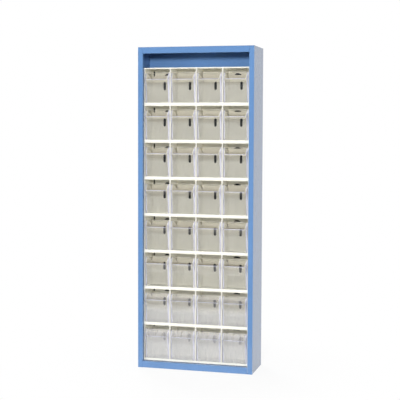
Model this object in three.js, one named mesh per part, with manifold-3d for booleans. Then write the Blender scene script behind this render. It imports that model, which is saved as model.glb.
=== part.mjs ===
// Sheet-steel cabinet with stacked housings of clear tilt-out bins.
// Millimetres, +Z up, front towards -Y, origin on the floor under the middle of the cabinet.

import * as THREE from 'three';
import { mergeVertices } from 'three/addons/utils/BufferGeometryUtils.js';
import Module from 'manifold-3d';

// How many housings are stacked, and how many bins each one holds
const ROWS = 8;
const COLUMNS = 4;

// Cabinet, folded from sheet steel
const SHEET = 1.2;
const BEND_RADIUS = 1;
const SEAM_GAP = 0.3;
const STILE_WIDTH = 28;
const STILE_RETURN = 22;
const TOP_RAIL_HEIGHT = 35;
const BOTTOM_RAIL_HEIGHT = 37;
const RAIL_RETURN = 22;
const FOOT_FLANGE = 25;
const WELD_FLANGE = 15;
const REAR_FLANGE = 15;
const HEADROOM = 78.3;
const REAR_RECESS = 44;

// Moulded housing
const HOUSING_WIDTH = 600;
const HOUSING_HEIGHT = 205.7;
const HOUSING_DEPTH = 143.7;
const HOUSING_SETBACK = 24;
const HOUSING_SIDE_GAP = 2;
const HANG_GAP = 2;
const STACK_GAP = 0.3;
const WALL = 2.5;
const LIP_HEIGHT = 12;
const LIP_THICKNESS = 3;
const STOP_SETBACK = 5;
const STOP_THICKNESS = 3;
const STOP_DROP = 3;
const POST_WIDTH = 8;
const POST_DEPTH = 13;
const END_POST_WIDTH = 5.2;
const ROOF_RIB_WIDTH = 2.4;
const ROOF_RIB_DROP = 3;
const BACK_SLOT_WIDTH = 15;
const BACK_SLOT_LENGTH = 47;
const BACK_SLOT_DROP = 73;
const HOOK_SLIT_WIDTH = 37;
const HOOK_SLIT_HEIGHT = 6;
const HOOK_SLIT_DROP = 31;
const CORNER_HOLE_WIDTH = 9;
const CORNER_HOLE_LENGTH = 28;
const CORNER_HOLE_DROP = 12;
const CORNER_HOLE_INSET = 14;

// Mounting rails behind the housings, one behind each column of slots
const HOOK_INSET = 96.4;
const MOUNT_RAIL_MARGIN = 12;
const MOUNT_RAIL_DEPTH = 37.7;
const MOUNT_RAIL_SHEET = 1.5;
const MOUNT_RAIL_FLANGE = 16;
const HOOK_WIDTH = 20;
const HOOK_THICKNESS = 2;
const HOOK_RISE = 3.5;
const HOOK_GAP = 2.5;
const RIVET_RADIUS = 2.1;
const RIVET_HEAD_RADIUS = 4.4;
const RIVET_HEAD_HEIGHT = 1.6;
const RIVET_CLEARANCE = 0.3;
const RIVET_END_DISTANCE = 120;
const RIVETS_PER_RAIL = 2;

// Clear bin
const BIN_WALL = 2;
const BIN_SIDE_GAP = 0.6;
const BIN_FLOOR_GAP = 2.5;
const BIN_BACK_GAP = 2.2;
const BIN_BACK_DRAFT = 12;
const BIN_BACK_DROP = 46;
const BIN_FRONT_SETBACK = 3.5;
const OPEN_STRIP = 29.7;
const LABEL_BAND_HEIGHT = 34;
const FLARE_HEIGHT = 62;
const NOSE_REACH = 21;
const TOP_EDGE_SETBACK = 7;
const CORNER_CUT = 8;
const NOSE_CORNER_CUT = 14;
const PIVOT_SETBACK = 9;
const PIVOT_HEIGHT = 15;
const STUD_RADIUS = 3;
const STUD_LENGTH = 3;
const STUD_CLEARANCE = 0.15;
const EAR_WIDTH = 12;
const EAR_ROOF_GAP = 1.2;

// Sizes that follow from the ones above
const STACK_PITCH = HOUSING_HEIGHT + STACK_GAP;
const STACK_HEIGHT = ROWS * STACK_PITCH - STACK_GAP;
const STACK_BASE = BOTTOM_RAIL_HEIGHT + HANG_GAP;
const OPENING_HALF = HOUSING_WIDTH / 2 + HOUSING_SIDE_GAP;
const CABINET_HALF = OPENING_HALF + STILE_WIDTH;
const CABINET_HEIGHT = STACK_BASE + STACK_HEIGHT + HEADROOM + TOP_RAIL_HEIGHT;
const HOUSING_BACK = HOUSING_SETBACK + HOUSING_DEPTH;
const BACK_PANEL_DEPTH = HOUSING_BACK + SEAM_GAP + MOUNT_RAIL_DEPTH + SEAM_GAP;
const CABINET_DEPTH = BACK_PANEL_DEPTH + REAR_RECESS;
const FRONT_Y = -CABINET_DEPTH / 2;
const INNER_HALF = CABINET_HALF - SHEET - SEAM_GAP;
const HOOK_CENTRE = HOUSING_WIDTH / 2 - HOOK_INSET;
const COMPARTMENT = (HOUSING_WIDTH - 2 * END_POST_WIDTH - (COLUMNS - 1) * POST_WIDTH) / COLUMNS;
const COLUMN_PITCH = COMPARTMENT + POST_WIDTH;
const BIN_HALF = COMPARTMENT / 2 - BIN_SIDE_GAP;
const INNER_BACK = HOUSING_DEPTH - WALL;
const BIN_FLOOR = WALL + BIN_FLOOR_GAP;
const BIN_TOP = HOUSING_HEIGHT - OPEN_STRIP;
const NOSE_HEIGHT = BIN_TOP - LABEL_BAND_HEIGHT;
const SOCKET_SIDES = 6;
const SOCKET_RADIUS = (STUD_RADIUS + STUD_CLEARANCE) / Math.cos(Math.PI / SOCKET_SIDES);
const EAR_RADIUS = HOUSING_HEIGHT - WALL - EAR_ROOF_GAP - PIVOT_HEIGHT;

const wasm = await Module();
wasm.setup();

// Closed solid of a three.js geometry, for joins and cuts
function solid(geometry) {
  const bare = geometry.clone();
  bare.deleteAttribute('normal');
  bare.deleteAttribute('uv');
  const welded = mergeVertices(bare, 1e-5);
  const mesh = new wasm.Mesh({
    numProp: 3,
    vertProperties: new Float32Array(welded.attributes.position.array),
    triVerts: new Uint32Array(welded.index.array),
  });
  return new wasm.Manifold(mesh);
}

// Flat-shaded three.js geometry of a solid
function geometryOf(body) {
  const mesh = body.asOriginal().simplify().getMesh();
  const shared = new THREE.BufferGeometry();
  shared.setAttribute('position', new THREE.BufferAttribute(new Float32Array(mesh.vertProperties), 3));
  shared.setIndex(new THREE.BufferAttribute(new Uint32Array(mesh.triVerts), 1));
  const flat = shared.toNonIndexed();
  flat.computeVertexNormals();
  return flat;
}

function shapeOf(points) {
  return new THREE.Shape(points.map(([u, v]) => new THREE.Vector2(u, v)));
}

function extrude(shape, length) {
  return new THREE.ExtrudeGeometry(shape, { depth: length, bevelEnabled: false, curveSegments: 3 });
}

// Prism of a section drawn in Y and Z, from x0 to x1
function alongX(shape, x0, x1) {
  const turn = new THREE.Matrix4().makeBasis(
    new THREE.Vector3(0, 1, 0),
    new THREE.Vector3(0, 0, 1),
    new THREE.Vector3(1, 0, 0),
  );
  return solid(extrude(shape, x1 - x0).applyMatrix4(turn).translate(x0, 0, 0));
}

// Prism of an outline drawn in X and Z, from y0 to y1
function alongY(shape, y0, y1) {
  const turn = new THREE.Matrix4().makeBasis(
    new THREE.Vector3(1, 0, 0),
    new THREE.Vector3(0, 0, 1),
    new THREE.Vector3(0, -1, 0),
  );
  return solid(extrude(shape, y1 - y0).applyMatrix4(turn).translate(0, y1, 0));
}

// Prism of a plan drawn in X and Y, from z0 to z1
function alongZ(shape, z0, z1) {
  return solid(extrude(shape, z1 - z0).translate(0, 0, z0));
}

function block(x0, x1, y0, y1, z0, z1) {
  const geometry = new THREE.BoxGeometry(x1 - x0, y1 - y0, z1 - z0);
  return solid(geometry.translate((x0 + x1) / 2, (y0 + y1) / 2, (z0 + z1) / 2));
}

// Round bar along X
function bar(radius, sides, x0, x1, y, z) {
  const geometry = new THREE.CylinderGeometry(radius, radius, x1 - x0, sides);
  return solid(geometry.rotateZ(Math.PI / 2).translate((x0 + x1) / 2, y, z));
}

// Section of bent sheet: the path is one face of the sheet, side 1 puts its thickness on the left of the path
function foldedSheet(path, thickness, side) {
  const points = path.map(([u, v]) => new THREE.Vector2(u, v));
  const steps = 2;
  const near = [];
  const far = [];
  const normalOf = (direction) => new THREE.Vector2(-direction.y, direction.x).multiplyScalar(side);
  points.forEach((point, i) => {
    const before = i > 0 ? point.clone().sub(points[i - 1]).normalize() : null;
    const after = i < points.length - 1 ? points[i + 1].clone().sub(point).normalize() : null;
    if (!before || !after) {
      const normal = normalOf(before ?? after);
      near.push(point.clone());
      far.push(point.clone().addScaledVector(normal, thickness));
      return;
    }
    const turn = Math.atan2(before.cross(after), before.dot(after));
    const inward = Math.sign(turn) === side ? 1 : -1;
    const nearRadius = inward > 0 ? BEND_RADIUS + thickness : BEND_RADIUS;
    const farRadius = inward > 0 ? BEND_RADIUS : BEND_RADIUS + thickness;
    const start = point.clone().addScaledVector(before, -nearRadius * Math.tan(Math.abs(turn) / 2));
    const centre = start.addScaledVector(normalOf(before), inward * nearRadius);
    for (let k = 0; k <= steps; k += 1) {
      const along = before.clone().rotateAround(new THREE.Vector2(0, 0), (turn * k) / steps);
      const out = normalOf(along).multiplyScalar(-inward);
      near.push(centre.clone().addScaledVector(out, nearRadius));
      far.push(centre.clone().addScaledVector(out, farRadius));
    }
  });
  return new THREE.Shape([...near, ...far.reverse()]);
}

// Side of the cabinet: stile return, stile, outer skin and rear flange in one folded sheet
function sidePanel(hand) {
  const rear = FRONT_Y + CABINET_DEPTH;
  const path = [
    [hand * OPENING_HALF, FRONT_Y + STILE_RETURN],
    [hand * OPENING_HALF, FRONT_Y],
    [hand * CABINET_HALF, FRONT_Y],
    [hand * CABINET_HALF, rear],
    [hand * (CABINET_HALF - REAR_FLANGE), rear],
  ];
  return alongZ(foldedSheet(path, SHEET, hand), 0, CABINET_HEIGHT - SHEET - SEAM_GAP);
}

// Clearance cut for the stiles at both ends of a rail
function stileNotches(z0, z1) {
  const inner = OPENING_HALF - SEAM_GAP;
  const outer = CABINET_HALF + 1;
  const y0 = FRONT_Y - 1;
  const y1 = FRONT_Y + STILE_RETURN + SEAM_GAP;
  return block(inner, outer, y0, y1, z0, z1).add(block(-outer, -inner, y0, y1, z0, z1));
}

// Top: front rail with its return, flat skin over the sides, and rear flange
function topPanel() {
  const rear = FRONT_Y + CABINET_DEPTH;
  const railFoot = CABINET_HEIGHT - TOP_RAIL_HEIGHT;
  const underside = CABINET_HEIGHT - SHEET;
  const path = [
    [FRONT_Y + RAIL_RETURN, railFoot],
    [FRONT_Y, railFoot],
    [FRONT_Y, CABINET_HEIGHT],
    [rear, CABINET_HEIGHT],
    [rear, CABINET_HEIGHT - REAR_FLANGE],
  ];
  let body = alongX(foldedSheet(path, SHEET, -1), -CABINET_HALF, CABINET_HALF);
  body = body.subtract(stileNotches(railFoot - 1, underside));
  for (const hand of [-1, 1]) {
    const flangeEnd = CABINET_HALF - REAR_FLANGE - SEAM_GAP;
    const x0 = hand > 0 ? flangeEnd : -CABINET_HALF - 1;
    const x1 = hand > 0 ? CABINET_HALF + 1 : -flangeEnd;
    const z0 = CABINET_HEIGHT - REAR_FLANGE - 1;
    body = body.subtract(block(x0, x1, rear - BEND_RADIUS - SHEET, rear + 1, z0, underside));
    const inside = hand * (INNER_HALF - SHEET / 2);
    const y0 = FRONT_Y + STILE_RETURN + WELD_FLANGE;
    const y1 = FRONT_Y + BACK_PANEL_DEPTH - WELD_FLANGE;
    const flangeFoot = CABINET_HEIGHT - WELD_FLANGE;
    body = body.add(block(inside - SHEET / 2, inside + SHEET / 2, y0, y1, flangeFoot, underside + SHEET / 2));
  }
  return body;
}

// Bottom: raised deck with front rail, rear skirt and foot flanges
function bottomPanel() {
  const skirt = FRONT_Y + BACK_PANEL_DEPTH - SEAM_GAP;
  const path = [
    [FRONT_Y + FOOT_FLANGE, 0],
    [FRONT_Y, 0],
    [FRONT_Y, BOTTOM_RAIL_HEIGHT],
    [skirt, BOTTOM_RAIL_HEIGHT],
    [skirt, 0],
    [skirt - FOOT_FLANGE, 0],
  ];
  const tray = alongX(foldedSheet(path, SHEET, -1), -INNER_HALF, INNER_HALF);
  return tray.subtract(stileNotches(-1, BOTTOM_RAIL_HEIGHT + 1));
}

// Heights of the rivets that hold one mounting rail
function rivetHeights() {
  const first = STACK_BASE + RIVET_END_DISTANCE;
  const last = STACK_BASE + STACK_HEIGHT - RIVET_END_DISTANCE;
  const step = (last - first) / (RIVETS_PER_RAIL - 1);
  return Array.from({ length: RIVETS_PER_RAIL }, (_, i) => first + i * step);
}

// Middle of a column, measured from the middle of the housing
function columnCentre(column) {
  return (column - (COLUMNS - 1) / 2) * COLUMN_PITCH;
}

// Side on which a column's rail has hooks: the outer rails have them and the others have none
function hookSide(column) {
  if (column === 0) {
    return -1;
  }
  return column === COLUMNS - 1 ? 1 : 0;
}

// Edges of a rail's web, which covers the slots of its column and reaches past its hooks
function railSpan(column) {
  const slot = columnCentre(column);
  const hook = hookSide(column) === 0 ? slot : hookSide(column) * HOOK_CENTRE;
  return [Math.min(slot, hook) - MOUNT_RAIL_MARGIN, Math.max(slot, hook) + MOUNT_RAIL_MARGIN];
}

// Sideways place of each rivet: they change from flange to flange up the rail
function rivetPlace(column, i) {
  const [left, right] = railSpan(column);
  return i % 2 === 0 ? right + MOUNT_RAIL_FLANGE / 2 : left - MOUNT_RAIL_FLANGE / 2;
}

function rivetHoles(column) {
  const radius = (RIVET_RADIUS + RIVET_CLEARANCE) / Math.cos(Math.PI / 6);
  const y0 = FRONT_Y + BACK_PANEL_DEPTH - MOUNT_RAIL_SHEET - SHEET;
  const y1 = FRONT_Y + BACK_PANEL_DEPTH + 2 * SHEET;
  const holes = rivetHeights().map((z, i) => {
    const hole = new THREE.CylinderGeometry(radius, radius, y1 - y0, 6);
    return solid(hole.translate(rivetPlace(column, i), (y0 + y1) / 2, z));
  });
  return holes.reduce((all, hole) => all.add(hole));
}

// Back: pan set in from the rear edges, with flanges on all four sides
function backPanel() {
  const web = FRONT_Y + BACK_PANEL_DEPTH;
  const rim = FRONT_Y + CABINET_DEPTH - SHEET - SEAM_GAP;
  const top = CABINET_HEIGHT - SHEET - SEAM_GAP;
  const path = [
    [-INNER_HALF, rim],
    [-INNER_HALF, web],
    [INNER_HALF, web],
    [INNER_HALF, rim],
  ];
  let body = alongZ(foldedSheet(path, SHEET, 1), SEAM_GAP, top);
  const end = INNER_HALF - SHEET - BEND_RADIUS;
  body = body.add(block(-end, end, web + SHEET / 2, rim, top - SHEET, top));
  body = body.add(block(-end, end, web + SHEET / 2, rim, SEAM_GAP, SEAM_GAP + SHEET));
  for (let column = 0; column < COLUMNS; column += 1) {
    body = body.subtract(rivetHoles(column));
  }
  return body;
}

// Hat-section rail, with one upturned hook for each housing on the outer rails
function mountingRail(column) {
  const [left, right] = railSpan(column);
  const rear = FRONT_Y + BACK_PANEL_DEPTH - SEAM_GAP;
  const web = rear - MOUNT_RAIL_DEPTH + MOUNT_RAIL_SHEET;
  const path = [
    [left - MOUNT_RAIL_FLANGE, rear],
    [left, rear],
    [left, web],
    [right, web],
    [right, rear],
    [right + MOUNT_RAIL_FLANGE, rear],
  ];
  const foot = STACK_BASE + WELD_FLANGE;
  let body = alongZ(foldedSheet(path, MOUNT_RAIL_SHEET, -1), foot, STACK_BASE + STACK_HEIGHT - WELD_FLANGE);
  body = body.subtract(rivetHoles(column));
  if (hookSide(column) === 0) {
    return body;
  }
  const hook = hookSide(column) * HOOK_CENTRE;
  const wallFront = FRONT_Y + HOUSING_SETBACK + INNER_BACK;
  for (let row = 0; row < ROWS; row += 1) {
    const housingTop = STACK_BASE + row * STACK_PITCH + HOUSING_HEIGHT;
    const seat = housingTop - HOOK_SLIT_DROP - SEAM_GAP;
    const tip = wallFront - HOOK_GAP;
    const section = shapeOf([
      [web - MOUNT_RAIL_SHEET / 2, seat],
      [tip, seat],
      [tip, seat + HOOK_RISE],
      [tip - HOOK_THICKNESS, seat + HOOK_RISE],
      [tip - HOOK_THICKNESS, seat - HOOK_THICKNESS],
      [web - MOUNT_RAIL_SHEET / 2, seat - HOOK_THICKNESS],
    ]);
    body = body.add(alongX(section, hook - HOOK_WIDTH / 2, hook + HOOK_WIDTH / 2));
  }
  return body;
}

// Rivet along Y, with its head in front of the rail flange and the set end behind the back panel
function rivetGeometry() {
  const headFace = -SEAM_GAP - MOUNT_RAIL_SHEET - SEAM_GAP;
  const tailFace = SHEET + SEAM_GAP;
  const tailRadius = (RIVET_RADIUS + RIVET_HEAD_RADIUS) / 2;
  const profile = [
    [0, headFace - RIVET_HEAD_HEIGHT],
    [RIVET_HEAD_RADIUS * 0.7, headFace - RIVET_HEAD_HEIGHT],
    [RIVET_HEAD_RADIUS, headFace],
    [RIVET_RADIUS, headFace],
    [RIVET_RADIUS, tailFace],
    [tailRadius, tailFace],
    [0, tailFace + RIVET_HEAD_HEIGHT],
  ];
  return new THREE.LatheGeometry(profile.map(([r, y]) => new THREE.Vector2(r, y)), 6);
}

// Round-ended upright slot
function slotShape(x, top, width, length) {
  const r = width / 2;
  const shape = new THREE.Shape();
  shape.moveTo(x + r, top - length + r);
  shape.lineTo(x + r, top - r);
  shape.absarc(x, top - r, r, 0, Math.PI, false);
  shape.lineTo(x - r, top - length + r);
  shape.absarc(x, top - length + r, r, Math.PI, 2 * Math.PI, false);
  return shape;
}

function rectangle(x, top, width, height) {
  return shapeOf([
    [x - width / 2, top - height],
    [x + width / 2, top - height],
    [x + width / 2, top],
    [x - width / 2, top],
  ]);
}

// Four-compartment housing: origin at the middle of its lower front edge
function housingSolid() {
  const half = HOUSING_WIDTH / 2;
  const ceiling = HOUSING_HEIGHT - WALL;
  let body = block(-half, half, 0, HOUSING_DEPTH, 0, HOUSING_HEIGHT);
  const mouth = shapeOf([
    [-1, LIP_HEIGHT],
    [LIP_THICKNESS, LIP_HEIGHT],
    [LIP_THICKNESS, WALL],
    [POST_DEPTH + 1, WALL],
    [POST_DEPTH + 1, ceiling],
    [STOP_SETBACK + STOP_THICKNESS, ceiling],
    [STOP_SETBACK + STOP_THICKNESS, ceiling - STOP_DROP],
    [STOP_SETBACK, ceiling - STOP_DROP],
    [STOP_SETBACK, ceiling],
    [-1, ceiling],
  ]);
  for (let column = 0; column < COLUMNS; column += 1) {
    const x = columnCentre(column);
    body = body.subtract(alongX(mouth, x - COMPARTMENT / 2, x + COMPARTMENT / 2));
    const left = column === 0 ? -half + WALL : x - COLUMN_PITCH / 2 + WALL / 2;
    const right = column === COLUMNS - 1 ? half - WALL : x + COLUMN_PITCH / 2 - WALL / 2;
    body = body.subtract(block(left, right, POST_DEPTH, INNER_BACK, WALL, ceiling));
    const ribFoot = ceiling - ROOF_RIB_DROP;
    const ribFront = STOP_SETBACK + STOP_THICKNESS / 2;
    const ribBack = INNER_BACK + WALL / 2;
    const ribHalf = ROOF_RIB_WIDTH / 2;
    body = body.add(block(x - ribHalf, x + ribHalf, ribFront, ribBack, ribFoot, ceiling + WALL / 2));
  }
  const holes = [];
  for (let column = 0; column < COLUMNS; column += 1) {
    const top = HOUSING_HEIGHT - BACK_SLOT_DROP;
    holes.push(slotShape(columnCentre(column), top, BACK_SLOT_WIDTH, BACK_SLOT_LENGTH));
  }
  for (const side of [-1, 1]) {
    const slit = side * HOOK_CENTRE;
    holes.push(rectangle(slit, HOUSING_HEIGHT - HOOK_SLIT_DROP, HOOK_SLIT_WIDTH, HOOK_SLIT_HEIGHT));
    const corner = side * (half - CORNER_HOLE_INSET);
    holes.push(rectangle(corner, HOUSING_HEIGHT - CORNER_HOLE_DROP, CORNER_HOLE_WIDTH, CORNER_HOLE_LENGTH));
  }
  for (const hole of holes) {
    body = body.subtract(alongY(hole, INNER_BACK - 1, HOUSING_DEPTH + 1));
  }
  for (let post = 0; post <= COLUMNS; post += 1) {
    const x = (post - COLUMNS / 2) * COLUMN_PITCH;
    const x0 = post === 0 ? -half + SHEET : x - POST_WIDTH;
    const x1 = post === COLUMNS ? half - SHEET : x + POST_WIDTH;
    body = body.subtract(bar(SOCKET_RADIUS, SOCKET_SIDES, x0, x1, PIVOT_SETBACK, PIVOT_HEIGHT));
  }
  return body;
}

// Skin through level sections that have their front corners cut off
function loft(levels) {
  const rings = levels.map(({ z, front, back, half, cut }) => [
    [-half + cut, front, z],
    [half - cut, front, z],
    [half, front + cut, z],
    [half, back, z],
    [-half, back, z],
    [-half, front + cut, z],
  ]);
  const size = rings[0].length;
  const index = [];
  for (let level = 0; level + 1 < rings.length; level += 1) {
    for (let i = 0; i < size; i += 1) {
      const a = level * size + i;
      const b = level * size + ((i + 1) % size);
      index.push(a, b, b + size, a, b + size, a + size);
    }
  }
  const last = (rings.length - 1) * size;
  for (let i = 1; i + 1 < size; i += 1) {
    index.push(0, i + 1, i);
    index.push(last, last + i, last + i + 1);
  }
  const geometry = new THREE.BufferGeometry();
  geometry.setAttribute('position', new THREE.Float32BufferAttribute(rings.flat(2), 3));
  geometry.setIndex(index);
  return solid(geometry);
}

// Clear bin: origin on its pivot, midway between the studs
function binSolid() {
  const earRear = INNER_BACK - BIN_BACK_GAP - PIVOT_SETBACK;
  const earAngle = Math.acos(earRear / EAR_RADIUS);
  const earFront = earAngle + EAR_WIDTH / EAR_RADIUS;
  const earTip = PIVOT_HEIGHT + EAR_RADIUS * Math.sin(earAngle);
  const rear = INNER_BACK - BIN_BACK_GAP;
  const backAt = (z) => rear - (BIN_BACK_DRAFT * (earTip - z)) / (earTip - BIN_FLOOR);
  const roof = PIVOT_HEIGHT + EAR_RADIUS + 1;
  const frontLine = [
    { z: BIN_FLOOR, front: BIN_FRONT_SETBACK, cut: CORNER_CUT },
    { z: NOSE_HEIGHT - FLARE_HEIGHT, front: BIN_FRONT_SETBACK - NOSE_REACH * 0.08, cut: CORNER_CUT },
    { z: NOSE_HEIGHT - FLARE_HEIGHT * 0.45, front: BIN_FRONT_SETBACK - NOSE_REACH * 0.45, cut: CORNER_CUT },
    { z: NOSE_HEIGHT, front: -NOSE_REACH, cut: NOSE_CORNER_CUT },
    { z: BIN_TOP, front: TOP_EDGE_SETBACK, cut: CORNER_CUT },
    { z: roof, front: TOP_EDGE_SETBACK, cut: CORNER_CUT },
  ];
  const outer = frontLine.map(({ z, front, cut }) => ({ z, front, cut, back: backAt(z), half: BIN_HALF }));
  const inner = frontLine.map(({ z, front, cut }, i) => ({
    z: i === 0 ? BIN_FLOOR + BIN_WALL : z + (z === roof ? 1 : 0),
    front: front + BIN_WALL * 1.2,
    cut: cut - BIN_WALL * 0.4,
    back: backAt(z) - BIN_WALL,
    half: BIN_HALF - BIN_WALL,
  }));
  let body = loft(outer).subtract(loft(inner));

  const sideReach = BIN_TOP - PIVOT_HEIGHT;
  const onArc = (radius, angle) => [
    PIVOT_SETBACK + radius * Math.cos(angle),
    PIVOT_HEIGHT + radius * Math.sin(angle),
  ];
  const topEdge = [];
  const arcSteps = 3;
  for (let k = 0; k <= arcSteps; k += 1) {
    topEdge.push(onArc(sideReach, earFront + ((Math.PI / 2 - earFront) * k) / arcSteps));
  }
  const keep = shapeOf([
    [-2 * NOSE_REACH, 0],
    [rear + WALL, 0],
    [rear + WALL, earTip],
    onArc(EAR_RADIUS, earAngle),
    onArc(EAR_RADIUS, earFront),
    ...topEdge,
    [-2 * NOSE_REACH, BIN_TOP],
  ]);
  body = body.intersect(alongX(keep, -BIN_HALF - 1, BIN_HALF + 1));
  const inside = BIN_HALF - BIN_WALL;
  const backTop = BIN_TOP - BIN_BACK_DROP;
  body = body.subtract(block(-inside, inside, INNER_BACK / 2, HOUSING_DEPTH, backTop, roof + 2));
  for (const side of [-1, 1]) {
    const from = side > 0 ? BIN_HALF - BIN_WALL / 2 : -BIN_HALF - STUD_LENGTH;
    const to = side > 0 ? BIN_HALF + STUD_LENGTH : -BIN_HALF + BIN_WALL / 2;
    body = body.add(bar(STUD_RADIUS, SOCKET_SIDES, from, to, PIVOT_SETBACK, PIVOT_HEIGHT));
  }
  return body.translate([0, -PIVOT_SETBACK, -PIVOT_HEIGHT]);
}

const paint = { color: 0x5f92cf, roughness: 0.42, metalness: 0 };
const whitePlastic = { color: 0xf3f0e6, roughness: 0.45, metalness: 0 };
const clearPlastic = { color: 0xeef1ee, roughness: 0.12, metalness: 0, transparent: true, opacity: 0.35 };
const darkSteel = { color: 0x2e3136, roughness: 0.5, metalness: 0.6 };
const zinc = { color: 0xb4b8bc, roughness: 0.4, metalness: 0.9 };

function piece(parent, name, geometry, finish) {
  const mesh = new THREE.Mesh(geometry, new THREE.MeshStandardMaterial(finish));
  mesh.name = name;
  parent.add(mesh);
  return mesh;
}

const cabinet = new THREE.Group();
piece(cabinet, 'side_panel_left', geometryOf(sidePanel(-1)), paint);
piece(cabinet, 'side_panel_right', geometryOf(sidePanel(1)), paint);
piece(cabinet, 'top_panel', geometryOf(topPanel()), paint);
piece(cabinet, 'bottom_panel', geometryOf(bottomPanel()), paint);
piece(cabinet, 'back_panel', geometryOf(backPanel()), paint);

const rivet = rivetGeometry();
for (let column = 0; column < COLUMNS; column += 1) {
  piece(cabinet, `mounting_rail_${column + 1}`, geometryOf(mountingRail(column)), darkSteel);
  rivetHeights().forEach((z, i) => {
    const mesh = piece(cabinet, `rivet_${column + 1}_${i + 1}`, rivet, zinc);
    mesh.position.set(rivetPlace(column, i), FRONT_Y + BACK_PANEL_DEPTH, z);
  });
}

const housing = geometryOf(housingSolid());
const bin = geometryOf(binSolid());
for (let row = 0; row < ROWS; row += 1) {
  const level = new THREE.Group();
  level.position.set(0, FRONT_Y + HOUSING_SETBACK, STACK_BASE + (ROWS - 1 - row) * STACK_PITCH);
  piece(level, `housing_${row + 1}`, housing, whitePlastic);
  for (let column = 0; column < COLUMNS; column += 1) {
    const mesh = piece(level, `bin_r${row + 1}_c${column + 1}`, bin, clearPlastic);
    mesh.position.set(columnCentre(column), PIVOT_SETBACK, PIVOT_HEIGHT);
  }
  cabinet.add(level);
}

export default cabinet;
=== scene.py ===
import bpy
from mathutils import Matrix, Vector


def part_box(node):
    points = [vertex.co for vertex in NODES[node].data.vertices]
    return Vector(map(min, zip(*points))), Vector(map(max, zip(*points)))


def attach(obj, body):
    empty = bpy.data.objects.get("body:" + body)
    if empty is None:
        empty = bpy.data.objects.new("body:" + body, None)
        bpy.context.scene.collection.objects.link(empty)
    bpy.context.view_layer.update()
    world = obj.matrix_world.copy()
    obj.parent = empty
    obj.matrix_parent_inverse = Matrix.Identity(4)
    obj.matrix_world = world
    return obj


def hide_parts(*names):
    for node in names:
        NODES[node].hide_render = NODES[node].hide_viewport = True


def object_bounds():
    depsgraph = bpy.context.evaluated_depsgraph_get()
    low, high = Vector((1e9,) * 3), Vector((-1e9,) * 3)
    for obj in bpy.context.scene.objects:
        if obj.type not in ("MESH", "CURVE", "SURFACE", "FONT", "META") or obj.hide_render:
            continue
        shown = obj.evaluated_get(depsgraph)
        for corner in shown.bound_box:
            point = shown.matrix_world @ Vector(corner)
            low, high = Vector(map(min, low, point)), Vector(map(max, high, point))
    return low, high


bl_info = {
    "name": "Tilt-Bin Cabinet",
    "version": (1, 0, 0),
    "blender": (4, 5, 0),
    "location": "View3D > Sidebar > Tilt-Bin Cabinet",
    "description": "Dresses a sheet-steel cabinet with stacked housings of clear tilt-out bins",
    "category": "Object",
}

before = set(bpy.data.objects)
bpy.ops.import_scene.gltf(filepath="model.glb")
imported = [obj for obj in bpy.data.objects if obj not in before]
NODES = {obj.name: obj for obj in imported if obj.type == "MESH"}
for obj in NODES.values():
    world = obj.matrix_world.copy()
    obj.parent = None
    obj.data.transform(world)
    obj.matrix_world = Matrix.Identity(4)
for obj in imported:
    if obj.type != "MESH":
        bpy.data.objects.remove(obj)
cad_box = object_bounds()

import math

import bmesh
import bpy
from bpy.props import FloatProperty, FloatVectorProperty, PointerProperty, StringProperty
from mathutils import Matrix, Vector

MM = 0.001
PANELS = ("side_panel_left", "side_panel_right", "top_panel", "bottom_panel", "back_panel")
RAILS = tuple(name for name in NODES if name.startswith("mounting_rail"))
RIVETS = tuple(name for name in NODES if name.startswith("rivet"))
HOUSINGS = tuple(name for name in NODES if name.startswith("housing"))
BINS = tuple(name for name in NODES if name.startswith("bin_"))
WHITE = (1.0, 1.0, 1.0, 1.0)

# A housing's posts: how deep they are from its front, and where they start and end above its foot
POST_DEPTH = 13.1 * MM
POST_FOOT = 12.5 * MM
POST_TOP = 199.0 * MM

# Height over which the painted floor reflection on a bin's wall fades out, and the label bands' painted
# floor reflection as a multiple of the wall's
REFLECTION_HAZE_FADE = 45 * MM
LOWEST_LABEL_REFLECTION_HAZE = 1.8
SECOND_LABEL_REFLECTION_HAZE = 0.9

# Edges sharper than these angles are softened on the CAD pieces and creased on the bins
SOFTENED_ANGLE = math.radians(40)
CREASE_ANGLE = math.radians(42)

# Steps along the parts of a bin's plan
FRONT_STEPS = 8
CORNER_STEPS = 6
BACK_CORNER_STEPS = 4
BACK_STEPS = 6

# Material slots of a bin's mesh
WALL_FACE, EDGE_FACE, LABEL_FACE, SIDE_FACE = range(4)

# The paper floor lies just under the cabinet. Near its middle it has this share of plain white, so that a
# soft shadow shows, and past the far distance it is all white.
FLOOR_DROP = 0.5 * MM
SHADOW_NEAR = 350 * MM
SHADOW_FAR = 1100 * MM
SHADOW_WHITE = 0.92

# In mirrors the floor has its full glow this near to the cabinet's front. Over a short blend it takes on
# another glow beside the cabinet.
FULL_GLOW_REACH = 250 * MM
GLOW_BLEND = 100 * MM
GLOW_BESIDE = 0.85

# Sensor width in millimetres that the lens is stated for, and the end of the camera's view in metres
SENSOR_WIDTH = 36.0
VIEW_END = 100.0


def linear(hex_colour):
    """Linear RGBA of an sRGB hex colour such as 6F9BD3."""
    channels = []
    for i in (0, 2, 4):
        c = int(hex_colour[i : i + 2], 16) / 255
        channels.append(c / 12.92 if c <= 0.04045 else ((c + 0.055) / 1.055) ** 2.4)
    return (*channels, 1.0)


def add_node(tree, kind, inputs=None, **settings):
    """Adds a node, sets its attributes, and sets or links its inputs."""
    node = tree.nodes.new(kind)
    for name, value in settings.items():
        setattr(node, name, value)
    for name, value in (inputs or {}).items():
        socket = node.inputs[name]
        if isinstance(value, bpy.types.NodeSocket):
            tree.links.new(value, socket)
        else:
            socket.default_value = value
    return node


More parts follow.
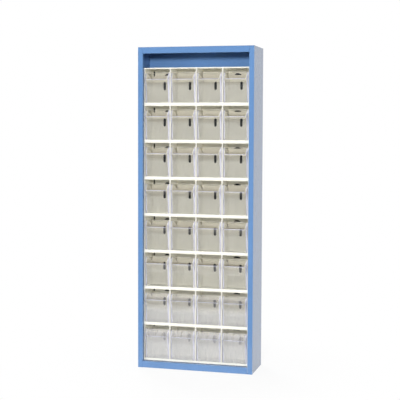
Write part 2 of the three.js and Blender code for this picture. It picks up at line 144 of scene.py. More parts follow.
def remap(tree, value, to_min, to_max, from_min=0.0, from_max=1.0, soft=False):
    """Carries a value from one range over to another, evenly or with soft ends."""
    node = add_node(
        tree,
        "ShaderNodeMapRange",
        {"Value": value, "From Min": from_min, "From Max": from_max, "To Min": to_min, "To Max": to_max},
        interpolation_type="SMOOTHSTEP" if soft else "LINEAR",
    )
    return node.outputs["Result"]


def vary(tree, pattern, low, high):
    """Carries noise, which seldom leaves 0.3 to 0.7, over to another range."""
    return remap(tree, pattern, low, high, 0.3, 0.7)


def calculate(tree, operation, first, second):
    """Result of an operation on two values."""
    return add_node(tree, "ShaderNodeMath", {0: first, 1: second}, operation=operation).outputs["Value"]


def noise(tree, where, grain, detail):
    """Noise with a grain in metres."""
    node = add_node(tree, "ShaderNodeTexNoise", {"Vector": where, "Scale": 1 / grain, "Detail": detail})
    return node.outputs["Fac"]


def scaled_position(tree, where, scale):
    """Position scaled along each axis. A pattern is drawn out along an axis with a scale below 1."""
    return add_node(tree, "ShaderNodeMapping", {"Vector": where, "Scale": scale}).outputs["Vector"]


def bumpy_normal(tree, height, strength, distance):
    """Normal of a surface with fine bumps, whose height is in metres (distance)."""
    node = add_node(tree, "ShaderNodeBump", {"Height": height, "Strength": strength, "Distance": distance})
    return node.outputs["Normal"]


def toned(tree, colour, tone):
    """A hex colour made lighter or darker by a factor."""
    node = add_node(tree, "ShaderNodeHueSaturation", {"Color": linear(colour), "Value": tone})
    return node.outputs["Color"]


def axes_of(tree, where):
    """The X, Y and Z of a position or direction."""
    return add_node(tree, "ShaderNodeSeparateXYZ", {"Vector": where}).outputs


def mix_shaders(tree, share, first, second):
    """Two shaders mixed by the share of the second one."""
    return add_node(tree, "ShaderNodeMixShader", {"Fac": share, 1: first, 2: second}).outputs["Shader"]


def new_material(name):
    """An empty node material and its tree."""
    material = bpy.data.materials.new(name)
    material.use_nodes = True
    material.node_tree.nodes.clear()
    return material, material.node_tree


def finish_material(tree, shader):
    """Leads a shader to the material's output."""
    add_node(tree, "ShaderNodeOutputMaterial", {"Surface": shader})


def position_of(tree):
    """Object coordinates in metres, so that every pattern keeps its real size."""
    return add_node(tree, "ShaderNodeTexCoord").outputs["Object"]


def powder_coat(colour):
    """Powder-coated sheet steel: an even semi-gloss colour whose shine is broken up by orange peel."""
    material, tree = new_material("powder_coated_steel_blue")
    where = position_of(tree)
    # Orange peel has ripples of about 2 mm. They are drawn 5 mm wide so that they show.
    peel = noise(tree, where, 5 * MM, 2.0)
    # The coat's thickness drifts over about 300 mm, which shifts the tone a little.
    drift = noise(tree, where, 300 * MM, 3.0)
    shader = add_node(
        tree,
        "ShaderNodeBsdfPrincipled",
        {
            "Base Color": toned(tree, colour, vary(tree, drift, 0.965, 1.035)),
            "Roughness": vary(tree, peel, 0.24, 0.3),
            "IOR": 1.35,
            "Coat Weight": 1.0,
            "Coat Roughness": 0.15,
            "Coat IOR": 1.35,
            "Normal": bumpy_normal(tree, peel, 0.12, 0.15 * MM),
        },
    )
    finish_material(tree, shader.outputs["BSDF"])
    return material


def post_shade_mask(tree, where):
    """1 on the posts, where the housing's colour gets painted shade, and 0 elsewhere.

    The posts are the front of each housing, from above its lip to below its stop bar."""
    # Housings are numbered from the top, so the last one is the lowest.
    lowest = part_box(HOUSINGS[-1])[0]
    next_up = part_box(HOUSINGS[-2])[0]
    place = axes_of(tree, where)
    raised = calculate(tree, "SUBTRACT", place["Z"], lowest.z)
    height = calculate(tree, "FLOORED_MODULO", raised, next_up.z - lowest.z)
    front = calculate(tree, "LESS_THAN", place["Y"], lowest.y + POST_DEPTH)
    above = calculate(tree, "GREATER_THAN", height, POST_FOOT)
    below = calculate(tree, "LESS_THAN", height, POST_TOP)
    return calculate(tree, "MULTIPLY", front, calculate(tree, "MULTIPLY", above, below))


def moulded_white(colour, post_painted_shade):
    """Injection-moulded white styrene: warm white, satin, with faint flow marks and a soft texture.

    The posts carry painted shade: they are darker by a given factor, for the shade that the bins' flared
    corners cast on them."""
    material, tree = new_material("moulded_styrene_white")
    where = position_of(tree)
    # Flow marks from the mould run across the housing in streaks about 60 mm long.
    flow = noise(tree, scaled_position(tree, where, (0.3, 1.0, 1.0)), 20 * MM, 2.0)
    # The spark-eroded texture of the mould is under 1 mm. It is drawn at 2 mm so that it shows.
    grain = noise(tree, where, 2 * MM, 1.0)
    # Painted shade: the posts are made darker, for the shade of the bins' flared corners before them.
    painted_post_shade = remap(tree, post_shade_mask(tree, where), 1.0, post_painted_shade)
    tone = calculate(tree, "MULTIPLY", vary(tree, flow, 0.975, 1.01), painted_post_shade)
    shader = add_node(
        tree,
        "ShaderNodeBsdfPrincipled",
        {
            "Base Color": toned(tree, colour, tone),
            "Roughness": vary(tree, grain, 0.36, 0.46),
            "IOR": 1.55,
            "Normal": bumpy_normal(tree, grain, 0.1, 0.1 * MM),
        },
    )
    finish_material(tree, shader.outputs["BSDF"])
    return material


def clear_styrene(name, colour, milk_colour, haze, doubled=False, haze_top=None):
    """Clear moulded styrene: see-through, with a strong shine at glancing angles and a slight milky haze.

    The side walls mirror their surroundings sooner, with both faces and the edges at work (doubled).
    A wall is milky only below a height in metres, where one is given (haze_top): a painted reflection of the
    bright floor."""
    material, tree = new_material(name)
    where = position_of(tree)
    # Sink marks ripple the polished walls over about 40 mm and bend what they mirror.
    rippled = bumpy_normal(tree, noise(tree, where, 40 * MM, 1.0), 0.25, 0.6 * MM)
    # Flow lines run up the walls, about 6 mm apart and 60 mm long, and the haze is thicker along them.
    flow = noise(tree, scaled_position(tree, where, (1.0, 0.1, 0.1)), 6 * MM, 2.0)
    milk = remap(tree, flow, 0.7 * haze, 1.3 * haze, 0.35, 0.7)
    if haze_top is not None:
        height = axes_of(tree, where)["Z"]
        # Painted reflection of the floor: the milk fades out above the given height.
        floor_reflection_share = remap(tree, height, 1.0, 0.05, haze_top - REFLECTION_HAZE_FADE, haze_top, soft=True)
        milk = calculate(tree, "MULTIPLY", milk, floor_reflection_share)
    pass_through = add_node(tree, "ShaderNodeBsdfTransparent", {"Color": linear(colour)})
    mirror = add_node(tree, "ShaderNodeBsdfGlossy", {"Color": WHITE, "Roughness": 0.07, "Normal": rippled})
    # Each face mirrors little straight on and nearly all of it edge on, from inside as from outside.
    turned = add_node(tree, "ShaderNodeLayerWeight", {"Blend": 0.5, "Normal": rippled}).outputs["Facing"]
    if doubled:
        gloss = remap(tree, turned, 0.05, 0.92, 0.3, 0.65, soft=True)
    else:
        gloss = remap(tree, calculate(tree, "POWER", turned, 5.0), 0.05, 1.0)
    clear = mix_shaders(tree, gloss, pass_through.outputs["BSDF"], mirror.outputs["BSDF"])
    scatter = add_node(tree, "ShaderNodeBsdfDiffuse", {"Color": linear(milk_colour)})
    finish_material(tree, mix_shaders(tree, milk, clear, scatter.outputs["BSDF"]))
    return material


def phosphated_steel(colour):
    """Black phosphated steel: dull and dark, with a mottled crystalline film."""
    material, tree = new_material("phosphated_steel_black")
    # Crystals are far under 1 mm. The mottle is drawn at 4 mm so that it shows.
    mottle = noise(tree, position_of(tree), 4 * MM, 4.0)
    shader = add_node(
        tree,
        "ShaderNodeBsdfPrincipled",
        {
            "Base Color": toned(tree, colour, vary(tree, mottle, 0.75, 1.25)),
            "Roughness": 0.6,
            "Metallic": 0.3,
        },
    )
    finish_material(tree, shader.outputs["BSDF"])
    return material


def zinc_plate(colour):
    """Zinc-plated steel: bright grey metal with a faintly cloudy film."""
    material, tree = new_material("zinc_plated_steel")
    # The chromate film clouds over about 3 mm.
    cloud = noise(tree, position_of(tree), 3 * MM, 2.0)
    shader = add_node(
        tree,
        "ShaderNodeBsdfPrincipled",
        {"Base Color": linear(colour), "Metallic": 1.0, "Roughness": vary(tree, cloud, 0.28, 0.45)},
    )
    finish_material(tree, shader.outputs["BSDF"])
    return material


def white_paper(stage):
    """White paper: it shows a soft shadow near the cabinet and goes over into plain white away from it.

    Mirrored in glossy faces it is brightest by the cabinet's front and fades into the dark room."""
    material, tree = new_material("white_paper")
    where = position_of(tree)
    seen = add_node(tree, "ShaderNodeLightPath").outputs
    # Fibres make the tone uneven over about 25 mm.
    tone = remap(tree, noise(tree, where, 25 * MM, 2.0), 0.88, 0.92)
    paper = add_node(tree, "ShaderNodeBsdfDiffuse", {"Color": tone})
    plan = scaled_position(tree, where, (1.0, 1.0, 0.0))
    distance = add_node(tree, "ShaderNodeVectorMath", {0: plan}, operation="LENGTH").outputs["Value"]
    away = remap(tree, distance, SHADOW_WHITE, 1.0, SHADOW_NEAR, SHADOW_FAR, soft=True)
    front = cad_box[0][1]
    depth = axes_of(tree, where)["Y"]
    glow_start = front - stage.glow_reach
    fading = remap(tree, depth, 0.0, stage.floor_glow, glow_start, front - FULL_GLOW_REACH, soft=True)
    beside = remap(tree, depth, 0.0, 1.0, front, front + GLOW_BLEND)
    mirrored = remap(tree, beside, fading, GLOW_BESIDE)
    glow = remap(tree, seen["Is Glossy Ray"], 1.0, mirrored)
    white = add_node(tree, "ShaderNodeEmission", {"Color": WHITE, "Strength": glow})
    looked_at = calculate(tree, "MAXIMUM", seen["Is Camera Ray"], seen["Is Glossy Ray"])
    share = calculate(tree, "MULTIPLY", looked_at, away)
    finish_material(tree, mix_shaders(tree, share, paper.outputs["BSDF"], white.outputs["Emission"]))
    return material


def dress(names, material, edge):
    """Gives CAD pieces a material and softens their edges by a small radius in metres."""
    for name in names:
        piece = NODES[name]
        piece.data.materials.clear()
        piece.data.materials.append(material)
        bevel = piece.modifiers.new("softened_edges", "BEVEL")
        bevel.width = edge
        bevel.segments = 2
        bevel.limit_method = "ANGLE"
        bevel.angle_limit = SOFTENED_ANGLE
        bevel.harden_normals = True


def finished_mesh(work, name):
    """Turns edited geometry into a mesh and frees it."""
    mesh = bpy.data.meshes.new(name)
    work.to_mesh(mesh)
    work.free()
    return mesh


def within(value, low, high):
    """The value, kept between two limits."""
    return min(max(value, low), high)


def smoothstep(t):
    """0 to 1 with soft ends."""
    t = within(t, 0.0, 1.0)
    return t * t * (3 - 2 * t)


class BinForm:
    """Outline of one bin in millimetres.

    x runs from its middle, y from the housing's lip and z from the housing's foot."""

    floor = 5.0
    top = 176.0
    nose = 142.0
    back_top = 130.0
    # Depth and height of the pivot
    pivot = (9.0, 15.0)
    # The stop ear's distance from the pivot and its width along the arc
    ear_arm = 187.0
    ear_width = 12.0
    # Depth of the back at the ear's tip, and how far it comes forward at the floor
    rear = 139.0
    rear_draft = 12.0
    # The front's depth at the housing's foot, how far it leans out below the flare, and the flare's shape
    front_setback = 3.5
    upright_lean = 1.3
    flare_foot = 60.0
    flare_power = 1.9
    flare_thickening = 0.2
    # Depth of the label band's top edge
    band_top_setback = 7.0
    # How far the bead stands out, the length of its slopes, and where they start below and above the nose
    bead = 1.4
    bead_slope = 1.6
    bead_below = 4.2
    bead_above = 1.0
    # How far below the nose the bead is white
    white_below = 2.4
    # Radii of the front corners at the foot and the nose, where they start to grow, and of the back ones
    corner_radius = 8.0
    nose_corner_radius = 14.0
    corner_swell_foot = 70.0
    back_corner_radius = 4.0
    # Inside, radii are smaller by these shares of the wall's thickness. No radius is below the least.
    corner_shrink = 0.6
    back_corner_shrink = 0.8
    back_inset_share = 0.5
    least_radius = 1.0
    # Height of the floor's rounded edge, the rim's crown, and how far its rings are from the wall's faces
    floor_round = 3.0
    rim_crown = 0.35
    rim_inset = 0.5
    # The pivot studs: radius, length and rounding, and from the side wall's face the distance of their
    # middle and of a line that only their outer end lies past
    stud_radius = 3.0
    stud_length = 3.2
    stud_round = 0.5
    stud_middle = 1.4
    stud_end = 2.0

    def __init__(self, sizes):
        self.half = sizes.half_width / MM
        self.wall = sizes.wall / MM
        self.reach = sizes.nose_reach / MM
        self.arm = self.top - self.pivot[1]
        self.ear_angle = math.acos((self.rear - self.pivot[0]) / self.ear_arm)
        self.ear_front = self.ear_angle + self.ear_width / self.ear_arm
        self.ear_tip = self.on_arc(self.ear_arm, self.ear_angle)

    def on_arc(self, radius, angle):
        """Depth and height of a point on an arc about the pivot."""
        return (self.pivot[0] + radius * math.cos(angle), self.pivot[1] + radius * math.sin(angle))

    def rise(self, z):
        """How far up the flare a height is, from 0 at its foot to 1 at the nose."""
        return within((z - self.flare_foot) / (self.nose - self.flare_foot), 0.0, 1.0)

    def plain_front(self, z):
        """Depth of the front without its bead: upright, then flaring to the nose, then leaning back."""
        nose_depth = self.bead - self.reach
        if z > self.nose:
            lean = (z - self.nose) / (self.top - self.nose)
            return nose_depth + (self.band_top_setback - nose_depth) * lean
        if z < self.flare_foot:
            return self.front_setback - self.upright_lean * z / self.flare_foot
        flare_depth = self.front_setback - self.upright_lean
        return flare_depth - (flare_depth - nose_depth) * self.rise(z) ** self.flare_power

    def front(self, z):
        """Depth of the outer front face, with the bead along the nose."""
        if z > self.nose:
            share = 1.0 - smoothstep((z - self.nose - self.bead_above) / self.bead_slope)
        else:
            share = smoothstep((z - self.nose + self.bead_below) / self.bead_slope)
        return self.plain_front(z) - self.bead * share

    def inner_front(self, z):
        """Depth of the inner front face, which has no bead. The wall thickens up the flare."""
        z = within(z, self.floor, self.top)
        return self.plain_front(z) + self.wall * (1.0 + self.flare_thickening * self.rise(z))

    def back(self, z):
        """Depth of the outer back face, which leans with its draft."""
        tip = self.ear_tip[1]
        return self.rear - self.rear_draft * (tip - z) / (tip - self.floor)

    def corner(self, z):
        """Radius of the upright front corners, widest at the nose."""
        swell = self.nose_corner_radius - self.corner_radius
        if z > self.nose:
            return self.nose_corner_radius - swell * smoothstep((z - self.nose) / (self.top - self.nose))
        foot = self.corner_swell_foot
        return self.corner_radius + swell * smoothstep((z - foot) / (self.nose - foot))

    def side_top(self, y):
        """Height of the side wall's upper edge: an arc about the pivot that ends in the stop ear."""
        foot = self.on_arc(self.arm, self.ear_front)
        tip = self.on_arc(self.ear_arm, self.ear_front)
        if y <= self.pivot[0]:
            return self.top
        if y < foot[0]:
            return self.pivot[1] + math.sqrt(self.arm**2 - (y - self.pivot[0]) ** 2)
        if y < tip[0]:
            return foot[1] + (tip[1] - foot[1]) * (y - foot[0]) / (tip[0] - foot[0])
        reach = min(y - self.pivot[0], self.ear_arm)
        return self.pivot[1] + math.sqrt(max(self.ear_arm**2 - reach**2, 0.0))


def bin_columns(form):
    """Places round the bin's plan: kind of place, how far along it, and on which side."""
    foot = form.on_arc(form.arm, form.ear_front)[0]
    tip = form.on_arc(form.ear_arm, form.ear_front)[0]
    ear_end = form.rear - form.back_corner_radius
    # Depths at which the side wall has an upright row of points. The last four shape the ear.
    stops = [24.0, 36.0, 48.0, 60.0, 72.0, 84.0, 95.0, 105.0]
    stops += [foot, (foot + tip) / 2, tip, (tip + ear_end) / 2]
    side = []
    for y in stops:
        z = form.side_top(y)
        start = form.front(z) + form.corner(z)
        side.append((y - start) / (form.back(z) - form.back_corner_radius - start))
    # Rows that would crowd the ends of the side are left out.
    side = [0.0, *[share for share in side if 0.02 < share < 0.985], 1.0]
    columns = [("front", k / FRONT_STEPS, 1) for k in range(FRONT_STEPS + 1)]
    columns += [("front_corner", k / CORNER_STEPS, 1) for k in range(1, CORNER_STEPS)]
    columns += [("side", share, 1) for share in side]
    columns += [("back_corner", k / BACK_CORNER_STEPS, 1) for k in range(1, BACK_CORNER_STEPS)]
    columns += [("back", k / BACK_STEPS, 1) for k in range(BACK_STEPS + 1)]
    columns += [("back_corner", k / BACK_CORNER_STEPS, -1) for k in range(BACK_CORNER_STEPS - 1, 0, -1)]
    columns += [("side", share, -1) for share in reversed(side)]
    columns += [("front_corner", k / CORNER_STEPS, -1) for k in range(CORNER_STEPS - 1, 0, -1)]
    return columns


def bin_place(form, column, z, inner, inset):
    """Plan position of a column at a height."""
    kind, along, hand = column
    thin = form.wall if inner else 0.0
    half = form.half - thin - inset
    front = (form.inner_front(z) if inner else form.front(z)) + inset
    back = form.back(z) - thin - inset
    near = form.corner(z) - thin * form.corner_shrink - inset
    near = max(near, form.least_radius)
    far = form.back_corner_radius - thin * form.back_corner_shrink - inset * form.back_inset_share
    far = max(far, form.least_radius)
    if kind == "front":
        return (along * 2 - 1) * (half - near), front
    if kind == "back":
        return (1 - along * 2) * (half - far), back
    if kind == "side":
        return hand * half, front + near + along * (back - far - front - near)
    turn = along * math.pi / 2
    if kind == "front_corner":
        return hand * (half - near + near * math.sin(turn)), front + near - near * math.cos(turn)
    return hand * (half - far + far * math.cos(turn)), back - far + far * math.sin(turn)


def column_top(form, column):
    """Height of the rim at a column."""
    kind, along, hand = column
    if kind in ("front", "front_corner"):
        return form.top
    if kind == "back":
        return form.back_top
    # On the side wall depth and height depend on each other, so they are brought together step by step.
    place = ("side", 1.0 if kind == "back_corner" else along, hand)
    z = form.top
    for _ in range(40):
        y = bin_place(form, place, z, False, 0.0)[1]
        z = 0.5 * z + 0.5 * form.side_top(y)
    if kind == "back_corner":
        return z + (form.back_top - z) * smoothstep(along)
    return z


def bin_levels(form):
    """Heights of the rings round a bin's wall, closest at the nose."""
    nose = form.nose
    levels = [16.0, 30.0, 45.0, 60.0, 73.0, 84.0, 94.0, 103.0, 111.0, 118.0, 124.0, 129.0, 133.0]
    levels += [nose - 4.4, nose - 3.4, nose - 2.4, nose - 1.2, nose, nose + 1.0, nose + 2.0, nose + 3.2]
    levels += [150.0, 156.0, 162.0, 169.0, form.top]
    return levels


def bin_rings(work, form, columns):
    """Rings of points up the outside, over the rim and down the inside, and the rim's two rings alone."""
    tops = [column_top(form, column) for column in columns]
    levels = bin_levels(form)
    foot = form.floor
    deep = foot + form.wall

    def ring(height_of, inner, inset):
        made = []
        for column, top in zip(columns, tops):
            z = height_of(top)
            x, y = bin_place(form, column, z, inner, inset)
            made.append(work.verts.new((x * MM, y * MM, z * MM)))
        return made

    def flat(z, inner, inset):
        return ring(lambda top: z, inner, inset)

    def scaled(level, inner):
        return ring(lambda top: foot + (level - foot) * (top - foot) / (form.top - foot), inner, 0.0)

    # The floor's edge is rounded by rings at a height above the floor with an inset.
    outer = [flat(foot + up, False, inset) for up, inset in ((0.0, 3.0), (0.5, 1.3), (1.4, 0.4))]
    outer.append(flat(foot + form.floor_round, False, 0.0))
    outer += [scaled(level, False) for level in levels]
    insets = (form.rim_inset, form.wall - form.rim_inset)
    rim = [ring(lambda top: top + form.rim_crown, False, inset) for inset in insets]
    inside = [scaled(level, True) for level in reversed(levels)]
    inside.append(flat(deep + form.floor_round, True, 0.0))
    inside += [flat(deep + up, True, inset) for up, inset in ((1.2, 0.5), (0.4, 1.4), (0.0, 3.0))]
    return outer + rim + inside, rim


def face_slot(form, kinds, middle, on_rim):
    """Material slot of a face, from the kinds of place on its two sides and from its middle."""
    bead_foot = (form.nose - form.white_below) * MM
    bead_top = (form.nose + form.bead_above) * MM
    on_front = kinds == ("front", "front")
    if kinds == ("side", "side") and not on_rim:
        return SIDE_FACE
    if on_front and bead_top < middle.z < form.top * MM and not on_rim:
        return LABEL_FACE
    # The corners widen towards the nose, but their white keeps the width that it has at the floor.
    white_from = (form.half - form.corner(form.floor)) * MM
    rounded = "front_corner" in kinds and abs(middle.x) > white_from
    beaded = on_front and bead_foot < middle.z < bead_top
    return EDGE_FACE if rounded or beaded or on_rim else WALL_FACE


def add_studs(work, form):
    """Pivot studs with rounded ends, one on each side wall."""
    turn = Matrix.Rotation(math.radians(90), 4, "Y")
    beyond = (form.half + form.stud_end) * MM
    for hand in (-1, 1):
        middle = Vector((hand * (form.half + form.stud_middle), form.pivot[0], form.pivot[1]))
        stud = bmesh.ops.create_cone(
            work,
            cap_ends=True,
            segments=20,
            radius1=form.stud_radius * MM,
            radius2=form.stud_radius * MM,
            depth=form.stud_length * MM,
            matrix=Matrix.Translation(middle * MM) @ turn,
        )
        edges = {edge for vert in stud["verts"] for edge in vert.link_edges}
        end = [edge for edge in edges if all(abs(vert.co.x) > beyond for vert in edge.verts)]
        bmesh.ops.bevel(work, geom=end, offset=form.stud_round * MM, segments=2, affect="EDGES")


def bin_mesh(form):
    """One bin as a closed thin-walled moulding with a rounded rim and pivot studs, in metres."""
    work = bmesh.new()
    columns = bin_columns(form)
    rings, rim = bin_rings(work, form, columns)
    count = len(columns)
    for lower, upper in zip(rings, rings[1:]):
        on_rim = lower in rim
        for i in range(count):
            j = (i + 1) % count
            face = work.faces.new((lower[i], lower[j], upper[j], upper[i]))
            kinds = (columns[i][0], columns[j][0])
            face.material_index = face_slot(form, kinds, face.calc_center_median(), on_rim)
    work.faces.new(list(reversed(rings[0])))
    work.faces.new(rings[-1])
    bmesh.ops.recalc_face_normals(work, faces=work.faces)
    add_studs(work, form)
    for face in work.faces:
        face.smooth = True
    for edge in work.edges:
        if len(edge.link_faces) == 2 and edge.calc_face_angle(0.0) > CREASE_ANGLE:
            edge.smooth = False
    return finished_mesh(work, "clear_bin")


class CabinetFinishes(bpy.types.PropertyGroup):
    """Colours of the materials and how soft their edges are"""

    paint: StringProperty(
        name="Paint",
        description="sRGB hex colour of the powder coat",
        default="6288B8",
    )
    white: StringProperty(
        name="Housing white",
        description="sRGB hex colour of the moulded housings",
        default="F4F2E7",
    )
    # Painted shade: the posts are darker, for the shade that the bins' flared corners cast on them.
    post_painted_shade: FloatProperty(
        name="Post tone",
        description="Brightness of the posts beside the rest of the housing",
        default=0.74,
        min=0.0,
        max=1.0,
        subtype="FACTOR",
    )
    clear: StringProperty(
        name="Bin tint",
        description="sRGB hex colour that one surface of the clear wall lets through",
        default="FCFCFC",
    )
    # Painted shade: the label band's tint darkens it for the shade of the housing's roof above.
    label_band_painted_shade: StringProperty(
        name="Label band",
        description="sRGB hex colour that one surface of the label band lets through",
        default="E9E7E3",
    )
    # The dark plates behind the corner holes, which are painted shade, share this colour.
    dark: StringProperty(
        name="Rail colour",
        description="sRGB hex colour of the mounting rails and catch plates",
        default="2E3034",
    )
    zinc: StringProperty(
        name="Rivet colour",
        description="sRGB hex colour of the zinc plate",
        default="B9BDC2",
    )
    haze: FloatProperty(
        name="Bin haze",
        description="Share of light that the clear walls scatter",
        default=0.006,
        min=0.0,
        max=1.0,
        subtype="FACTOR",
    )
    # Painted reflection of the bright floor: milky haze added to the two lowest rows.
    low_haze: FloatProperty(
        name="Low bin haze",
        description="Share of light that the two lowest rows scatter besides",
        default=0.12,
        min=0.0,
        max=1.0,
        subtype="FACTOR",
    )
    # Painted reflection of the bright floor: the row above the lowest is milky only up to this height.
    reflection_haze_top: FloatProperty(
        name="Dust height",
        description="Height up to which the bins in the row above the lowest are milky",
        default=105 * MM,
        min=0.0,
        unit="LENGTH",
    )
    milk: StringProperty(
        name="Milk",
        description="sRGB hex colour of the light that the clear walls scatter",
        default="F4F5FB",
    )
    edge_milk: StringProperty(
        name="Edge milk",
        description="sRGB hex colour of the light that the bins' edges scatter",
        default="DCDCEC",
    )
    edge_white: FloatProperty(
        name="Bin edge white",
        description="Share of light that the bins' thick rounded edges scatter",
        default=0.62,
        min=0.0,
        max=1.0,
        subtype="FACTOR",
    )
    side_haze: FloatProperty(
        name="Side haze",
        description="Share of light that the side walls scatter",
        default=0.06,
        min=0.0,
        max=1.0,
        subtype="FACTOR",
    )
    sheet_edge: FloatProperty(
        name="Sheet edge",
        description="Radius that softens the edges of the sheet, the rails and the rivets",
        default=0.35 * MM,
        min=0.0,
        unit="LENGTH",
    )
    moulded_edge: FloatProperty(
        name="Moulded edge",
        description="Radius that softens the housings' edges",
        default=0.5 * MM,
        min=0.0,
        unit="LENGTH",
    )


class BinSizes(bpy.types.PropertyGroup):
    """Main sizes of a clear bin"""

    half_width: FloatProperty(
        name="Half width",
        description="Half of the bin's outer width",
        default=70.1 * MM,
        min=0.0,
        unit="LENGTH",
    )
    wall: FloatProperty(
        name="Wall",
        description="Thickness of the clear walls",
        default=2.0 * MM,
        min=0.0,
        unit="LENGTH",
    )
    nose_reach: FloatProperty(
        name="Nose reach",
        description="How far the nose stands in front of the housing's lip",
        default=21.0 * MM,
        min=0.0,
        unit="LENGTH",
    )


class DarkShadePlates(bpy.types.PropertyGroup):
    """Size and place of the dark plates behind the housings' corner holes: painted shade that darkens the
    holes
    """

    size: FloatVectorProperty(
        name="Plate size",
        description="Width, thickness and height of a catch plate",
        default=(0.022, 0.003, 0.04),
        subtype="XYZ",
        unit="LENGTH",
    )
    edge: FloatProperty(
        name="Plate edge",
        description="Radius of the plate's edges",
        default=0.5 * MM,
        min=0.0,
        unit="LENGTH",
    )
    inset: FloatProperty(
        name="Plate inset",
        description="From the housing's end to the plate's middle",
        default=14.0 * MM,
        min=0.0,
        unit="LENGTH",
    )
    drop: FloatProperty(
        name="Plate drop",
        description="From the housing's top to the plate's middle",
        default=26.0 * MM,
        min=0.0,
        unit="LENGTH",
    )
    gap: FloatProperty(
        name="Plate gap",
        description="Between the housing's back and the plate",
        default=0.3 * MM,
        min=0.0,
        unit="LENGTH",
    )


class StudioStage(bpy.types.PropertyGroup):
    """Camera, lights, floor and room"""

    camera_place: FloatVectorProperty(
        name="Camera",
        description="Where the camera stands",
        default=(1.44696, -5.46653, 1.36358),
        subtype="TRANSLATION",
        unit="LENGTH",
    )
    camera_turn: FloatProperty(
        name="Turn",
        description="Angle of the view to the cabinet's front",
        default=0.2593,
        subtype="ANGLE",
    )
    camera_tilt: FloatProperty(
        name="Tilt",
        description="Angle of the view below the horizon",
        default=0.0615,
        subtype="ANGLE",
    )
    camera_roll: FloatProperty(
        name="Roll",
        description="Turn of the camera about its own axis",
        default=0.0035,
        subtype="ANGLE",
    )
    focal_length: FloatProperty(
        name="Lens",
        description="Focal length in millimetres on a 36 mm sensor",
        default=90.39,
        min=1.0,
    )
    frame_shift: FloatProperty(
        name="Shift",
        description="Upward shift of the frame as a share of its width",
        default=-0.03,
    )
    key_place: FloatVectorProperty(
        name="Key place",
        description="Where the main light stands",
        default=(0.7, -5.45, 2.32),
        subtype="TRANSLATION",
        unit="LENGTH",
    )
    key_size: FloatProperty(
        name="Key size",
        description="Side of the main light",
        default=0.6,
        min=0.01,
        unit="LENGTH",
    )
    key_power: FloatProperty(
        name="Key light",
        description="Power of the main light in front",
        default=240.0,
        min=0.0,
        unit="POWER",
    )
    left_place: FloatVectorProperty(
        name="Left place",
        description="Where the light for the faces that look left stands",
        default=(-3.8, -3.2, 1.7),
        subtype="TRANSLATION",
        unit="LENGTH",
    )
    left_power: FloatProperty(
        name="Left light",
        description="Power of the light for the faces that look left",
        default=50.0,
        min=0.0,
        unit="POWER",
    )
    right_place: FloatVectorProperty(
        name="Right place",
        description="Where the light for the faces that look right stands",
        default=(3.8, -3.2, 1.7),
        subtype="TRANSLATION",
        unit="LENGTH",
    )
    right_power: FloatProperty(
        name="Right light",
        description="Power of the light for the faces that look right",
        default=24.0,
        min=0.0,
        unit="POWER",
    )
    side_size: FloatProperty(
        name="Side light size",
        description="Side of the lights to the left and right",
        default=1.6,
        min=0.01,
        unit="LENGTH",
    )
    rear_place: FloatVectorProperty(
        name="Rear place",
        description="Where the light for the cabinet's back and top stands",
        default=(-2.4, 3.6, 3.6),
        subtype="TRANSLATION",
        unit="LENGTH",
    )
    rear_size: FloatProperty(
        name="Rear light size",
        description="Side of the light for the cabinet's back and top",
        default=2.0,
        min=0.01,
        unit="LENGTH",
    )
    rear_power: FloatProperty(
        name="Rear light",
        description="Power of the light for the cabinet's back and top",
        default=190.0,
        min=0.0,
        unit="POWER",
    )
    floor_front: FloatProperty(
        name="Floor in front",
        description="How far the white floor reaches in front of the cabinet",
        default=1.8,
        min=0.0,
        unit="LENGTH",
    )
    floor_reach: FloatProperty(
        name="Floor reach",
        description="How far the white floor reaches to the sides and behind",
        default=4.0,
        min=1.0,
        unit="LENGTH",
    )
    floor_glow: FloatProperty(
        name="Floor glow",
        description="Brightness of the floor in front of the cabinet that glossy faces mirror",
        default=1.3,
        min=0.0,
    )
    glow_reach: FloatProperty(
        name="Glow reach",
        description="How far in front of the cabinet the mirrored floor fades out",
        default=1.1,
        min=0.3,
        unit="LENGTH",
    )
    room_light: FloatProperty(
        name="Room light",
        description="Brightness of the light that comes from all sides",
        default=0.3,
        min=0.0,
    )
    bright_side: FloatProperty(
        name="Bright sides",
        description="Brightness of the room beside and behind that glossy faces mirror",
        default=0.84,
        min=0.0,
    )
    dark_front: FloatProperty(
        name="Dark front",
        description="Brightness of the room in front and above that glossy faces mirror",
        default=0.05,
        min=0.0,
    )


class TILTBIN_OT_cabinet(bpy.types.Operator):
    """Paint the folded sheet panels of the cabinet"""

    bl_idname = "tiltbin.cabinet"
    bl_label = "Cabinet panels"

    def execute(self, context):
        finishes = context.scene.tiltbin_finishes
        dress(PANELS, powder_coat(finishes.paint), finishes.sheet_edge)
        return {"FINISHED"}


class TILTBIN_OT_rails(bpy.types.Operator):
    """Finish the mounting rails and their rivets"""

    bl_idname = "tiltbin.rails"
    bl_label = "Mounting rails"

    def execute(self, context):
        finishes = context.scene.tiltbin_finishes
        dress(RAILS, phosphated_steel(finishes.dark), finishes.sheet_edge)
        dress(RIVETS, zinc_plate(finishes.zinc), finishes.sheet_edge)
        return {"FINISHED"}


